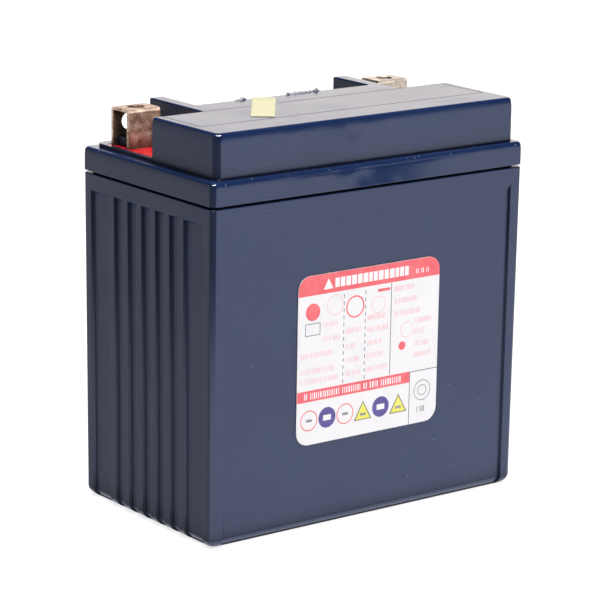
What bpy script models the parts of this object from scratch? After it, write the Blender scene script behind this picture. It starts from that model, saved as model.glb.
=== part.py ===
"""Sealed 12 V motorcycle battery: moulded case and lid, folded terminals, vent valves and six cells.

Lengths are in metres. X runs along the long side, Y from the label face to the terminal side, Z up.
The origin is the centre of the base.
"""

from math import cos, pi, radians, sin, tan

import bmesh
import bpy
from mathutils import Matrix, Vector

# Driving sizes
LENGTH = 0.150  # over the lid's skirt, along X
DEPTH = 0.087  # over the lid's skirt, along Y
CASE_TOP = 0.1308  # top of the case's outer wall
LID_TOP = 0.158  # top of the raised slab
CELLS = 6
GAP = 0.0003  # between pieces that touch
ARC_STEPS = 6  # facets in a quarter round
ROUND_STEPS = 24  # facets in a full circle

# Case
CASE_SETBACK = 0.0001  # case wall behind the lid's skirt
CORNER = 0.0023  # upright corners of case and skirt
DRAFT = 0.0006  # how far each wall comes in at the base
BASE_ROUND = 0.0040
RECESS = 0.0011  # depth of the channels and panels
RECESS_SLOPE = 0.00045  # run of a recess's side walls
CHANNELS = 5
CHANNEL = 0.0061
RIB = 0.0032
END_PANEL = 0.0130
LONG_PANEL = 0.1384
RECESS_TOP = 0.1244
END_TOP_SLOPE = 0.0010
LONG_TOP_SLOPE = 0.0024
WALL = 0.0040  # case wall at the flange
FLOOR = 0.0030
PARTITION = 0.0020
TONGUE_SETBACK = 0.0024
TONGUE_TOP = 0.1350

CAVITY_X = LENGTH / 2 - CASE_SETBACK - WALL
CAVITY_Y = DEPTH / 2 - CASE_SETBACK - WALL
CELL_PITCH = (2 * CAVITY_X + PARTITION) / CELLS
CELL_WIDTH = CELL_PITCH - PARTITION

# Lid
SEAM = 0.0009  # open line between the case and the lid's skirt
SKIRT_BOTTOM = CASE_TOP + SEAM
SKIRT_TOP = 0.1408
SKIRT_CROWN = 0.0024  # height over which the skirt's wall leans in below its rounded edge
EDGE_ROUND = 0.0013
CROWN_LEAN = radians(9)
SLAB_MID_X = 0.0010  # the raised slab stands a little to one side
SLAB_HALF_X = 0.0719
SLAB_HALF_Y = 0.0399
SLAB_CORNER = 0.0029
SLAB_CROWN = 0.0034
DECK = 0.1422  # floor of the terminal wells
NOTCH_ROUND = 0.0008
NOTCH_CORNER = 0.0008
WELL_FRONT = 0.0015  # slab's rear face beside the terminals
MIDDLE_FRONT = 0.0140  # slab's rear face between the fins
FIN_INNER = 0.0420
FIN_OUTER = 0.0480
FIN_REAR = 0.0368
PLATE_BOTTOM = TONGUE_TOP + GAP
POCKET_RIM = 0.0015
POCKET_REAR = 0.0348
POCKET_FLOOR = 0.1389
LID_WALL = 0.0025
SKIRT_WALL = 0.0022

# Vent cover, chimneys and valves
COVER_FRONT = -0.0244
COVER_REAR = 0.0003
COVER_HALF_X = 0.0677
COVER_GAP = 0.00035  # open line round the cover
COVER_THICK = 0.0020
SEAT_WIDTH = 0.0015
TROUGH_FLOOR = 0.1460
CHIMNEY_TOP = 0.1510
CHIMNEY_R = 0.0040
CHIMNEY_BORE = 0.0020
VALVE_R = 0.0055
VALVE_SKIRT = 0.0040  # how far the cap reaches down the chimney
VALVE_CROWN = 0.0012
VALVE_LIFT = 0.0010
STUD_R = 0.0022
COVER_MID_Y = (COVER_FRONT + COVER_REAR) / 2

# Terminals
TERMINAL_X = 0.06095  # middle of each terminal, either side of the centre
TERMINAL_WIDE = 0.0147
TERMINAL_FRONT = 0.0214
TERMINAL_REAR = 0.0332
TERMINAL_TOP = 0.1572
STRIP = 0.0012
FOLD = 0.0009  # mid-line radius of the folds
BOLT_HOLE = 0.0034
REAR_HOLE_Z = 0.1510
FOOT_FRONT = 0.0090  # front end of the strip's buried foot
PLINTH_HALF_X = 0.0054
PLINTH_TOP = 0.1457
POST_R = 0.0045
POST_Y = 0.0150
RESIN_TOP = 0.1421

# Cells
PLATE_HALF_Y = 0.0360
PLATE_LOW = 0.0060
PLATE_HIGH = 0.1010
POSITIVE_PLATES = 4
POSITIVE_THICK = 0.0016
NEGATIVE_THICK = 0.0012
PLATE_GAP = 0.00105
MAT_CLEARANCE = 0.00015
LUG_WIDE = 0.0080
LUG_THICK = 0.0010
STRAP_Y = 0.0240
STRAP_WIDE = 0.0110
STRAP_LOW = 0.1060
STRAP_HIGH = 0.1120
TOMBSTONE = 0.0030  # riser that carries a cell's strap up to its link
TOMBSTONE_HIGH = 0.1240
LINK_Z = 0.1170
LINK_R = 0.0042

# Label, tape and melted burrs
LABEL_WIDE = 0.0687
LABEL_HIGH = 0.0665
LABEL_MID_Z = 0.06675
LABEL_CORNER = 0.0055
SHEET = 0.0003
TAPE_WIDE = 0.0092
TAPE_THICK = 0.0002
TAPE_START = (-0.0356, -0.0203)
TAPE_TURN = radians(37)
BURRS = ((-0.0240, 0.0057, 0.0005), (0.0008, 0.0172, 0.0004))  # start along X, length and radius of each


def clear_scene():
    for obj in list(bpy.data.objects):
        bpy.data.objects.remove(obj)


def new_collection(name, hidden=False):
    collection = bpy.data.collections.new(name)
    collection.hide_render = hidden
    bpy.context.scene.collection.children.link(collection)
    return collection


def new_material(name, colour, roughness, metallic=0.0):
    material = bpy.data.materials.new(name)
    material.use_nodes = True
    shader = material.node_tree.nodes["Principled BSDF"]
    shader.inputs["Base Color"].default_value = (*colour, 1.0)
    shader.inputs["Roughness"].default_value = roughness
    shader.inputs["Metallic"].default_value = metallic
    material.diffuse_color = (*colour, 1.0)
    return material


clear_scene()
PARTS = new_collection("motorcycle_battery")
CUTTERS = new_collection("cutters", hidden=True)


# Shapes


def box(low, high, into=None):
    """Adds a box to a mesh being built, or starts a new one."""
    mesh = into or bmesh.new()
    size = Vector(high) - Vector(low)
    middle = (Vector(high) + Vector(low)) / 2
    place = Matrix.Translation(middle) @ Matrix.Diagonal((*size, 1.0))
    bmesh.ops.create_cube(mesh, size=1.0, matrix=place)
    return mesh


def cylinder(radius, start, end, into=None):
    """Adds a round bar from start to end."""
    mesh = into or bmesh.new()
    along = Vector(end) - Vector(start)
    turn = along.to_track_quat("Z", "Y").to_matrix().to_4x4()
    place = Matrix.Translation((Vector(start) + Vector(end)) / 2) @ turn
    bmesh.ops.create_cone(
        mesh,
        cap_ends=True,
        segments=ROUND_STEPS,
        radius1=radius,
        radius2=radius,
        depth=along.length,
        matrix=place,
    )
    return mesh


def rounded_ring(mesh, section):
    """The corner points of a rounded rectangle: middle x and y, half sizes, corner radius, height."""
    mid_x, mid_y, half_x, half_y, radius, z = section
    ring = []
    for corner, (side_x, side_y) in enumerate(((1, 1), (-1, 1), (-1, -1), (1, -1))):
        for step in range(ARC_STEPS + 1):
            angle = (corner + step / ARC_STEPS) * pi / 2
            x = mid_x + side_x * (half_x - radius) + radius * cos(angle)
            y = mid_y + side_y * (half_y - radius) + radius * sin(angle)
            ring.append(mesh.verts.new((x, y, z)))
    return ring


def loft(sections):
    """A closed body through a rising stack of rounded rectangles."""
    mesh = bmesh.new()
    rings = [rounded_ring(mesh, section) for section in sections]
    for lower, upper in zip(rings, rings[1:]):
        for here in range(len(lower)):
            after = (here + 1) % len(lower)
            mesh.faces.new((lower[here], lower[after], upper[after], upper[here]))
    mesh.faces.new(rings[0][::-1])
    mesh.faces.new(rings[-1])
    return mesh


def arc(radius, start, end, steps=ARC_STEPS):
    """Inset and rise along an arc whose outward normal tilts up from start to end."""
    angles = [start + (end - start) * step / steps for step in range(steps + 1)]
    return [(radius * (cos(start) - cos(angle)), radius * (sin(angle) - sin(start))) for angle in angles]


def quarter_round(radius):
    """Inset and rise of each step of a rounded top edge, from its foot to its crest."""
    return arc(radius, 0, pi / 2)


def crowned_edge(crown):
    """A wall that leans in slightly over its top few millimetres, then a tight rounded edge."""
    lean = arc(crown / sin(CROWN_LEAN), 0, CROWN_LEAN, steps=ARC_STEPS // 2)
    foot_in, foot_up = lean[-1]
    crest = arc(EDGE_ROUND, CROWN_LEAN, pi / 2)
    return lean + [(foot_in + step_in, foot_up + rise) for step_in, rise in crest[1:]]


def to_object(name, mesh_in_progress, collection, material=None, location=(0, 0, 0)):
    bmesh.ops.recalc_face_normals(mesh_in_progress, faces=mesh_in_progress.faces)
    mesh = bpy.data.meshes.new(name)
    mesh_in_progress.to_mesh(mesh)
    mesh_in_progress.free()
    obj = bpy.data.objects.new(name, mesh)
    obj.location = location
    collection.objects.link(obj)
    if material:
        mesh.materials.append(material)
        mesh.shade_smooth()
        mesh.set_sharp_from_angle(angle=radians(30))
    return obj


def cutter(name, mesh_in_progress, location=(0, 0, 0)):
    obj = to_object(name, mesh_in_progress, CUTTERS, location=location)
    obj.hide_render = True
    obj.display_type = "WIRE"
    return obj


def combine(target, other, operation, overlapping=False):
    modifier = target.modifiers.new(other.name, "BOOLEAN")
    modifier.operation = operation
    modifier.solver = "EXACT"
    modifier.use_self = overlapping
    modifier.object = other


def cut(target, name, mesh_in_progress):
    combine(target, cutter(name, mesh_in_progress), "DIFFERENCE")


def add(target, name, mesh_in_progress, overlapping=False):
    combine(target, cutter(name, mesh_in_progress), "UNION", overlapping)


def turned(name, profile, material, location):
    """A round piece from the outline of its right half, given from top to bottom."""
    mesh = bmesh.new()
    points = [mesh.verts.new((radius, 0, z)) for radius, z in profile]
    for upper, lower in zip(points, points[1:]):
        mesh.edges.new((upper, lower))
    data = bpy.data.meshes.new(name)
    mesh.to_mesh(data)
    mesh.free()
    data.materials.append(material)
    obj = bpy.data.objects.new(name, data)
    obj.location = location
    PARTS.objects.link(obj)
    screw = obj.modifiers.new("turn", "SCREW")
    screw.steps = ROUND_STEPS
    screw.render_steps = ROUND_STEPS
    screw.use_merge_vertices = True
    screw.merge_threshold = 0.00001
    screw.use_smooth_shade = False
    return obj


def cell_middle(cell):
    return (cell - (CELLS - 1) / 2) * CELL_PITCH


def cell_boxes(y_span, z_span, x_span=(-LENGTH, LENGTH), cells=range(CELLS)):
    """One box in each cell, across the cell's width but no further than x_span."""
    mesh = bmesh.new()
    for cell in cells:
        left = max(cell_middle(cell) - CELL_WIDTH / 2, x_span[0])
        right = min(cell_middle(cell) + CELL_WIDTH / 2, x_span[1])
        box((left, y_span[0], z_span[0]), (right, y_span[1], z_span[1]), into=mesh)
    return mesh


# Case


def case_section(z, inset=0.0, height=None):
    """The case's outline at a height. Its walls come in by DRAFT at the base."""
    setback = CASE_SETBACK + DRAFT * (1 - z / CASE_TOP) + inset
    at = z if height is None else height
    return (0, 0, LENGTH / 2 - setback, DEPTH / 2 - setback, CORNER, at)


def case_base(inset, lowest):
    """Rising outlines of the rounded base edge."""
    rings = []
    for step_in, rise in reversed(quarter_round(BASE_ROUND)):
        z = BASE_ROUND - rise
        rings.append(case_section(z, inset + step_in, height=max(z, lowest)))
    return rings


def tongue_section(z):
    half_x = LENGTH / 2 - CASE_SETBACK - TONGUE_SETBACK
    half_y = DEPTH / 2 - CASE_SETBACK - TONGUE_SETBACK
    return (0, 0, half_x, half_y, CORNER - GAP, z)


def case_block():
    rings = case_base(0, 0)
    rings.append(case_section(CASE_TOP - GAP))
    rings.append(case_section(CASE_TOP, inset=GAP))
    rings.append(tongue_section(CASE_TOP))
    rings.append(tongue_section(TONGUE_TOP))
    return loft(rings)


def case_core():
    """The surface that every channel and panel is sunk to."""
    rings = case_base(RECESS, GAP / 3)
    rings.append(case_section(CASE_TOP - RECESS, inset=RECESS))
    return loft(rings)


def recess_cutter(mesh, middle, width, top_slope, face, turn):
    """A wedge that opens outwards through a wall. Built facing +X, then turned about Z."""
    deep = 3 * RECESS
    out = 2 * RECESS
    wedge = box((face - deep, middle - width / 2, -out), (face + out, middle + width / 2, RECESS_TOP))
    for vert in wedge.verts:
        below_face = (face - vert.co.x) / RECESS
        side = 1 if vert.co.y > middle else -1
        vert.co.y -= side * RECESS_SLOPE * below_face
        if vert.co.z > 0:
            vert.co.z -= top_slope * below_face
    wedge.transform(Matrix.Rotation(turn, 4, "Z"))
    copy = bpy.data.meshes.new("wedge")
    wedge.to_mesh(copy)
    wedge.free()
    mesh.from_mesh(copy)
    bpy.data.meshes.remove(copy)


def case_recesses():
    """Five channels between two panels on each end, and one panel on each long side."""
    mesh = bmesh.new()
    end_face = LENGTH / 2 - CASE_SETBACK
    long_face = DEPTH / 2 - CASE_SETBACK
    pitch = CHANNEL + RIB
    panel_middle = CHANNELS / 2 * pitch + RIB / 2 + END_PANEL / 2
    for turn in (0, pi):
        for number in range(CHANNELS):
            middle = (number - (CHANNELS - 1) / 2) * pitch
            recess_cutter(mesh, middle, CHANNEL, END_TOP_SLOPE, end_face, turn)
        for side in (-1, 1):
            recess_cutter(mesh, side * panel_middle, END_PANEL, END_TOP_SLOPE, end_face, turn)
    for turn in (-pi / 2, pi / 2):
        recess_cutter(mesh, 0, LONG_PANEL, LONG_TOP_SLOPE, long_face, turn)
    return mesh


def link_side(partition):
    """Neighbouring cells join at the label side and the terminal side in turn."""
    return -1 if partition % 2 == 0 else 1


def link_holes():
    mesh = bmesh.new()
    for partition in range(CELLS - 1):
        x = (cell_middle(partition) + cell_middle(partition + 1)) / 2
        y = link_side(partition) * STRAP_Y
        start = (x - PARTITION, y, LINK_Z)
        end = (x + PARTITION, y, LINK_Z)
        cylinder(LINK_R + GAP, start, end, into=mesh)
    return mesh


def build_case(material):
    case = to_object("case", case_block(), PARTS, material)
    cut(case, "case_recesses", case_recesses())
    add(case, "case_core", case_core())
    cut(case, "cell_cavities", cell_boxes((-CAVITY_Y, CAVITY_Y), (FLOOR, TONGUE_TOP + WALL)))
    cut(case, "link_holes", link_holes())
    return case


# Lid


def crowned_block(section, crown, top):
    """A rounded rectangle's upright block with a crowned top edge. section ends in its foot's height."""
    mid_x, mid_y, half_x, half_y, corner, _ = section
    edge = crowned_edge(crown)
    crest = edge[-1][1]
    rings = [section]
    for inset, rise in edge:
        z = top - crest + rise
        rings.append((mid_x, mid_y, half_x - inset, half_y - inset, corner - inset / 2, z))
    return loft(rings)


def lid_skirt():
    return crowned_block((0, 0, LENGTH / 2, DEPTH / 2, CORNER, SKIRT_BOTTOM), SKIRT_CROWN, SKIRT_TOP)


def slab_block():
    """The raised part before the wells are cut out of it."""
    foot = SKIRT_TOP - SKIRT_CROWN
    section = (SLAB_MID_X, 0, SLAB_HALF_X, SLAB_HALF_Y, SLAB_CORNER, foot)
    return crowned_block(section, SLAB_CROWN, LID_TOP)


def notch(left, right, front):
    """A cutter that leaves a rounded edge along the top of what stays."""
    rear = DEPTH
    mid_x, mid_y = (left + right) / 2, (front + rear) / 2
    half_x, half_y = (right - left) / 2, (rear - front) / 2
    rings = [(mid_x, mid_y, half_x, half_y, NOTCH_CORNER, DECK)]
    for flare, rise in quarter_round(NOTCH_ROUND):
        z = LID_TOP - NOTCH_ROUND + rise
        rings.append((mid_x, mid_y, half_x + flare, half_y + flare, NOTCH_CORNER + flare, z))
    rings.append((*rings[-1][:5], LID_TOP + NOTCH_ROUND))
    return loft(rings)


def pocket_span(side):
    """Inner ends, along X, of the resin pocket on one side of the lid."""
    outer = SLAB_MID_X + side * (SLAB_HALF_X - POCKET_RIM)
    inner = side * (FIN_OUTER + POCKET_RIM)
    return min(outer, inner), max(outer, inner)


def resin_block(side, shrink, low, high):
    left, right = pocket_span(side)
    front = WELL_FRONT + POCKET_RIM
    half_x, half_y = (right - left) / 2 - shrink, (POCKET_REAR - front) / 2 - shrink
    middle = ((left + right) / 2, (front + POCKET_REAR) / 2)
    return loft([(*middle, half_x, half_y, NOTCH_CORNER, z) for z in (low, high)])


def plinth(side, grow=0.0, low=POCKET_FLOOR - GAP, high=PLINTH_TOP):
    """The block that the folded terminal stands astride."""
    x = side * TERMINAL_X
    clear = STRIP + GAP - grow
    front = (x - PLINTH_HALF_X - grow, TERMINAL_FRONT + clear, low)
    rear = (x + PLINTH_HALF_X + grow, TERMINAL_REAR - clear, high)
    return box(front, rear)


def chimneys(radius, low, high):
    mesh = bmesh.new()
    for cell in range(CELLS):
        x = cell_middle(cell)
        cylinder(radius, (x, COVER_MID_Y, low), (x, COVER_MID_Y, high), into=mesh)
    return mesh


def trough(inset, low):
    """The opening that the vent cover lies in."""
    half_x = COVER_HALF_X + COVER_GAP - inset
    front = COVER_FRONT - COVER_GAP + inset
    rear = COVER_REAR + COVER_GAP - inset
    return box((SLAB_MID_X - half_x, front, low), (SLAB_MID_X + half_x, rear, LID_TOP + WALL))


def build_lid(material):
    lid = to_object("lid", lid_skirt(), PARTS, material)
    add(lid, "slab_block", slab_block())
    cut(lid, "left_well", notch(-LENGTH, -FIN_OUTER, WELL_FRONT))
    cut(lid, "right_well", notch(FIN_OUTER, LENGTH, WELL_FRONT))
    cut(lid, "middle_step", notch(-FIN_INNER, FIN_INNER, MIDDLE_FRONT))
    cut(lid, "behind_fins", notch(-LENGTH, LENGTH, FIN_REAR))

    inside_x, inside_y = LENGTH / 2 - SKIRT_WALL, DEPTH / 2 - SKIRT_WALL
    corner = CORNER - SKIRT_WALL / 2
    underside = [(0, 0, inside_x, inside_y, corner, z) for z in (CASE_TOP - WALL, PLATE_BOTTOM)]
    cut(lid, "underside", loft(underside))
    low = PLATE_BOTTOM - GAP
    slab_x = (SLAB_MID_X - SLAB_HALF_X + LID_WALL, SLAB_MID_X + SLAB_HALF_X - LID_WALL)
    between_fins = (LID_WALL - FIN_OUTER, FIN_OUTER - LID_WALL)
    front = LID_WALL - SLAB_HALF_Y
    under_trough = TROUGH_FLOOR - LID_WALL
    under_top = LID_TOP - LID_WALL - GAP
    whole_y = (-CAVITY_Y, CAVITY_Y)
    slab_y = (front, WELL_FRONT - LID_WALL)
    front_y = (front, COVER_FRONT - SEAT_WIDTH)
    rear_y = (COVER_REAR + LID_WALL, MIDDLE_FRONT - LID_WALL)
    cut(lid, "head_space", cell_boxes(whole_y, (low, POCKET_FLOOR - SKIRT_WALL)))
    cut(lid, "slab_space", cell_boxes(slab_y, (low, under_trough), slab_x))
    cut(lid, "front_space", cell_boxes(front_y, (low, under_top), slab_x))
    cut(lid, "rear_space", cell_boxes(rear_y, (low, under_top), between_fins, range(1, CELLS - 1)))

    cut(lid, "cover_seat", trough(0, LID_TOP - COVER_THICK - GAP))
    cut(lid, "trough", trough(SEAT_WIDTH, TROUGH_FLOOR))
    add(lid, "chimneys", chimneys(CHIMNEY_R, TROUGH_FLOOR - LID_WALL / 2, CHIMNEY_TOP))
    cut(lid, "chimney_bores", chimneys(CHIMNEY_BORE, under_trough - WALL, CHIMNEY_TOP + GAP))
    for side, label in ((-1, "left"), (1, "right")):
        cut(lid, label + "_pocket", resin_block(side, 0, POCKET_FLOOR, DECK + WALL))
        add(lid, label + "_plinth", plinth(side))
        low = (side * TERMINAL_X, POST_Y, PLATE_BOTTOM)
        high = (side * TERMINAL_X, POST_Y, POCKET_FLOOR + GAP)
        cut(lid, label + "_post_hole", cylinder(POST_R + GAP, low, high))
    return lid


# Vent cover and valves


def build_cover(material):
    low = LID_TOP - COVER_THICK
    half_y = (COVER_REAR - COVER_FRONT) / 2
    flat = [(SLAB_MID_X, COVER_MID_Y, COVER_HALF_X, half_y, GAP, z) for z in (low, LID_TOP)]
    cover = to_object("vent_cover", loft(flat), PARTS, material)
    stud_bottom = CHIMNEY_TOP + GAP + VALVE_CROWN + VALVE_LIFT + GAP
    add(cover, "cover_studs", chimneys(STUD_R, stud_bottom, LID_TOP - COVER_THICK / 2))
    return cover


def build_valves(material):
    """A rubber cap over each chimney. It lifts along Z to let gas out, then closes again."""
    inside = CHIMNEY_R + GAP
    profile = [
        (0, VALVE_CROWN),
        (VALVE_R - GAP, VALVE_CROWN),
        (VALVE_R, VALVE_CROWN - GAP),
        (VALVE_R, -VALVE_SKIRT),
        (inside, -VALVE_SKIRT),
        (inside, 0),
        (0, 0),
    ]
    for cell in range(CELLS):
        seat = (cell_middle(cell), COVER_MID_Y, CHIMNEY_TOP + GAP)
        turned(f"vent_valve_{cell + 1}", profile, material, seat)


# Terminals, resin and posts


def fold(middle_y, middle_z, start_angle, end_angle, radius=FOLD):
    """Points of a fold's mid-line, as (y, z)."""
    points = []
    for step in range(ARC_STEPS + 1):
        angle = radians(start_angle + (end_angle - start_angle) * step / ARC_STEPS)
        points.append((middle_y + radius * cos(angle), middle_z + radius * sin(angle)))
    return points


def terminal_line():
    """Mid-line of the strip: foot under the resin, front leg, top, rear leg."""
    foot_z = POCKET_FLOOR + GAP + STRIP / 2
    front = TERMINAL_FRONT + STRIP / 2
    rear = TERMINAL_REAR - STRIP / 2
    top = TERMINAL_TOP - STRIP / 2
    line = [(FOOT_FRONT, foot_z)]
    line += fold(front - FOLD, foot_z + FOLD, -90, 0)
    line += fold(front + FOLD, top - FOLD, 180, 90)
    line += fold(rear - FOLD, top - FOLD, 90, 0)
    line.append((rear, foot_z - STRIP / 2))
    return line


def build_terminal(name, side, material):
    mesh = bmesh.new()
    half = TERMINAL_WIDE / 2
    rows = [[mesh.verts.new((x, y, z)) for x in (-half, half)] for y, z in terminal_line()]
    for here, after in zip(rows, rows[1:]):
        mesh.faces.new((here[0], here[1], after[1], after[0]))
    terminal = to_object(name, mesh, PARTS, material, location=(side * TERMINAL_X, 0, 0))
    shell = terminal.modifiers.new("sheet", "SOLIDIFY")
    shell.thickness = STRIP
    shell.offset = 0
    shell.use_even_offset = True
    middle = (TERMINAL_FRONT + TERMINAL_REAR) / 2
    x = side * TERMINAL_X
    top_hole = cylinder(BOLT_HOLE, (x, middle, TERMINAL_TOP - WALL), (x, middle, TERMINAL_TOP + WALL))
    rear_start = (x, TERMINAL_REAR - WALL, REAR_HOLE_Z)
    rear_hole = cylinder(BOLT_HOLE, rear_start, (x, TERMINAL_REAR + WALL, REAR_HOLE_Z))
    cut(terminal, name + "_top_hole", top_hole)
    cut(terminal, name + "_rear_hole", rear_hole)
    return terminal


def build_resin(name, side, material):
    """Resin poured round the terminal's feet. It covers the strip's foot and the post."""
    low = POCKET_FLOOR + GAP
    resin = to_object(name, resin_block(side, GAP, low, RESIN_TOP), PARTS, material)
    half = TERMINAL_WIDE / 2 + GAP
    x = side * TERMINAL_X
    above = RESIN_TOP + WALL
    foot_top = low + STRIP + GAP
    below = low - GAP
    leg = STRIP + GAP
    foot = box((x - half, FOOT_FRONT - GAP, below), (x + half, TERMINAL_FRONT + GAP, foot_top))
    front = box((x - half, TERMINAL_FRONT - GAP, below), (x + half, TERMINAL_FRONT + leg, above))
    rear = box((x - half, TERMINAL_REAR - leg, below), (x + half, TERMINAL_REAR + GAP, above))
    bend = cylinder(
        FOLD,
        (x - half, TERMINAL_FRONT - GAP, foot_top - GAP),
        (x + half, TERMINAL_FRONT - GAP, foot_top - GAP),
    )
    cut(resin, name + "_foot_slot", foot)
    cut(resin, name + "_front_slot", front)
    cut(resin, name + "_rear_slot", rear)
    cut(resin, name + "_bend_slot", bend)
    cut(resin, name + "_plinth_hole", plinth(side, grow=GAP, low=below, high=above))
    return resin


def build_post(name, side, material):
    """A lead post from the end cell's strap to the underside of the terminal's foot."""
    height = POCKET_FLOOR - STRAP_HIGH - GAP
    profile = [
        (0, height),
        (POST_R - GAP, height),
        (POST_R, height - GAP),
        (POST_R, POST_R),
        (POST_R + STRIP, STRIP),
        (POST_R + STRIP, 0),
        (0, 0),
    ]
    return turned(name, profile, material, (side * TERMINAL_X, POST_Y, STRAP_HIGH + GAP))


# Cells


def plate_places(count, thickness, other_thickness):
    """Middles, along X, of alternate plates in a cell's stack."""
    pitch = thickness + other_thickness + 2 * PLATE_GAP
    return [(number - (count - 1) / 2) * pitch for number in range(count)]


def plate_group(name, places, thickness, side, joint_x, post_side, material, middle_x):
    """Plates, their lugs and the strap that joins them. joint_x is the way the strap meets the next cell."""
    mesh = bmesh.new()
    lug_y = side * STRAP_Y
    for x in places:
        half = thickness / 2
        plate_low = (x - half, -PLATE_HALF_Y, PLATE_LOW)
        box(plate_low, (x + half, PLATE_HALF_Y, PLATE_HIGH), into=mesh)
        lug_low = (x - LUG_THICK / 2, lug_y - LUG_WIDE / 2, PLATE_HIGH - GAP)
        lug_high = (x + LUG_THICK / 2, lug_y + LUG_WIDE / 2, STRAP_LOW + GAP)
        box(lug_low, lug_high, into=mesh)
    group = to_object(name, mesh, PARTS, material, location=(middle_x, 0, 0))
    half_strap = CELL_WIDTH / 2 - GAP
    strap_y = [lug_y - STRAP_WIDE / 2, lug_y + STRAP_WIDE / 2]
    if post_side:
        strap_y[0] = POST_Y - POST_R - STRIP
    low = (middle_x - half_strap, strap_y[0], STRAP_LOW)
    high = (middle_x + half_strap, strap_y[1], STRAP_HIGH)
    add(group, name + "_strap", box(low, high), overlapping=True)
    if joint_x:
        face = middle_x + joint_x * half_strap
        back = face - joint_x * TOMBSTONE
        low = (min(face, back), lug_y - STRAP_WIDE / 2, STRAP_LOW + GAP)
        high = (max(face, back), lug_y + STRAP_WIDE / 2, TOMBSTONE_HIGH)
        add(group, name + "_riser", box(low, high))
    return group


def build_mat(name, middle_x, material):
    """Glass mat between the plates and under them, as one folded piece."""
    count = 2 * POSITIVE_PLATES
    pitch = (POSITIVE_THICK + NEGATIVE_THICK) / 2 + PLATE_GAP
    half = PLATE_GAP / 2 - MAT_CLEARANCE
    reach_y = PLATE_HALF_Y + 4 * GAP
    floor_low = FLOOR + GAP
    floor_high = PLATE_LOW - GAP
    mesh = bmesh.new()
    for number in range(count):
        x = (number - (count - 1) / 2) * pitch
        low = (x - half, -reach_y, (floor_low + floor_high) / 2)
        box(low, (x + half, reach_y, PLATE_HIGH + 4 * GAP), into=mesh)
    mat = to_object(name, mesh, PARTS, material, location=(middle_x, 0, 0))
    half_width = CELL_WIDTH / 2 - GAP
    low = (middle_x - half_width, -reach_y - GAP, floor_low)
    high = (middle_x + half_width, reach_y + GAP, floor_high)
    add(mat, name + "_fold", box(low, high), overlapping=True)
    return mat


def build_cells(lead, paste, mat):
    positive = plate_places(POSITIVE_PLATES, POSITIVE_THICK, NEGATIVE_THICK)
    negative = plate_places(POSITIVE_PLATES + 1, NEGATIVE_THICK, POSITIVE_THICK)
    for cell in range(CELLS):
        middle = cell_middle(cell)
        side = 1 if cell % 2 == 0 else -1
        first, last = cell == 0, cell == CELLS - 1
        to_left = 0 if first else -1
        to_right = 0 if last else 1
        name = f"positive_plates_{cell + 1}"
        plate_group(name, positive, POSITIVE_THICK, side, to_left, first, paste, middle)
        name = f"negative_plates_{cell + 1}"
        plate_group(name, negative, NEGATIVE_THICK, -side, to_right, last, lead, middle)
        build_mat(f"glass_mat_{cell + 1}", middle, mat)
    for partition in range(CELLS - 1):
        x = (cell_middle(partition) + cell_middle(partition + 1)) / 2
        place = (x, link_side(partition) * STRAP_Y, LINK_Z)
        slug = cylinder(LINK_R, (-PARTITION / 2, 0, 0), (PARTITION / 2, 0, 0))
        to_object(f"cell_link_{partition + 1}", slug, PARTS, lead, location=place)


# Label, tape and burrs


def panel_lean():
    """Angle of the long walls from upright."""
    return DRAFT / CASE_TOP


def build_label(material):
    half_x, half_z = LABEL_WIDE / 2, LABEL_HIGH / 2
    flat = [(0, 0, half_x, half_z, LABEL_CORNER, z) for z in (-SHEET / 2, SHEET / 2)]
    setback = CASE_SETBACK + DRAFT * (1 - LABEL_MID_Z / CASE_TOP) + RECESS
    y = -(DEPTH / 2 - setback + GAP / 2 + SHEET / 2)
    label = to_object("label", loft(flat), PARTS, material, location=(0, y, LABEL_MID_Z))
    label.rotation_euler = (pi / 2 + panel_lean(), 0, 0)
    return label


def build_tape(material):
    """A short tape laid at an angle over the cover and the slab, as far as the slab's rear edge."""
    reach = (MIDDLE_FRONT - NOTCH_ROUND - TAPE_START[1]) / cos(TAPE_TURN)
    half = TAPE_WIDE / 2
    run = reach - half * tan(TAPE_TURN)
    tape_low = GAP / 2
    flat = box((-half, 0, tape_low), (half, run, tape_low + TAPE_THICK))
    tape = to_object("tape", flat, PARTS, material, location=(*TAPE_START, LID_TOP))
    tape.rotation_euler = (0, 0, -TAPE_TURN)
    return tape


def build_burr(name, start_x, length, thick, material):
    """A ragged bead of melted plastic along the slab's rear edge."""
    count = 2 + round(length / (2 * thick))
    curve = bpy.data.curves.new(name, "CURVE")
    curve.dimensions = "3D"
    curve.bevel_depth = thick
    curve.bevel_resolution = 1
    curve.use_fill_caps = True
    line = curve.splines.new("POLY")
    line.points.add(count - 1)
    for number, point in enumerate(line.points):
        along = number / (count - 1)
        wander = sin(2.3 * number + length / thick)
        rise = thick + GAP + thick * 0.35 * (1 + sin(1.7 * number))
        point.co = (along * length, thick * 0.6 * wander, rise, 1.0)
        point.radius = 0.75 + 0.25 * cos(3.1 * number)
    burr = bpy.data.objects.new(name, curve)
    burr.location = (start_x, MIDDLE_FRONT - NOTCH_ROUND - thick, LID_TOP)
    curve.materials.append(material)
    PARTS.objects.link(burr)
    return burr


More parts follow.
